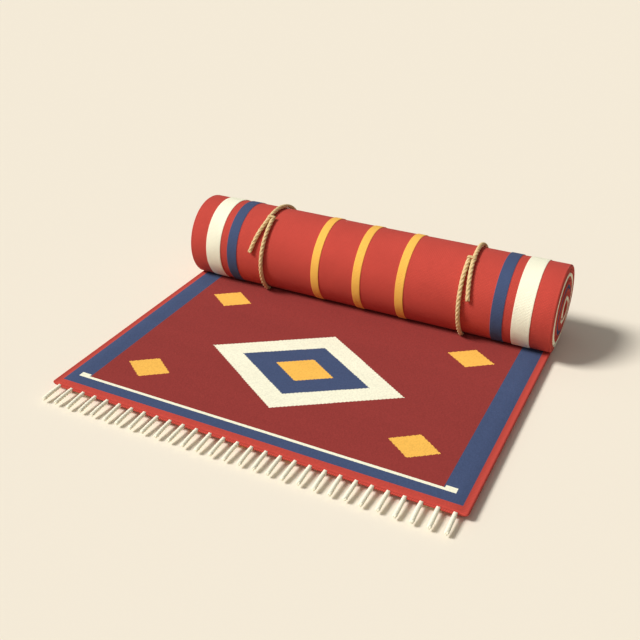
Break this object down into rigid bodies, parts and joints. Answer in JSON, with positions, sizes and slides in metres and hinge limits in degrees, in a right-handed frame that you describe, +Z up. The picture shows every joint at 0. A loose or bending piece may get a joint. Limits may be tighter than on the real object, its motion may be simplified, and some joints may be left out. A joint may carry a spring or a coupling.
{
  "type": "half-rolled fringed carpet with cord ties",
  "caption": "Rectangular carpet with a fringed end lying flat and the rest wound into a roll, held by two cord ties round the roll.",
  "frame": {"origin": "on the floor, in the middle of the carpet's and fringe's box", "axes": "+X along the roll, +Y from the fringe towards the roll, +Z up"},
  "size_m": [0.8, 0.701, 0.1869],
  "materials": {
    "carpet": "short dense wool pile, matt",
    "fringe": "twisted cotton yarn, matt",
    "tie": "three-strand jute cord, matt"
  },
  "bodies": {
    "root": {"carpet": "carpet", "fringe": "fringe", "tie_left": "tie", "tie_right": "tie"}
  },
  "joints": []
}
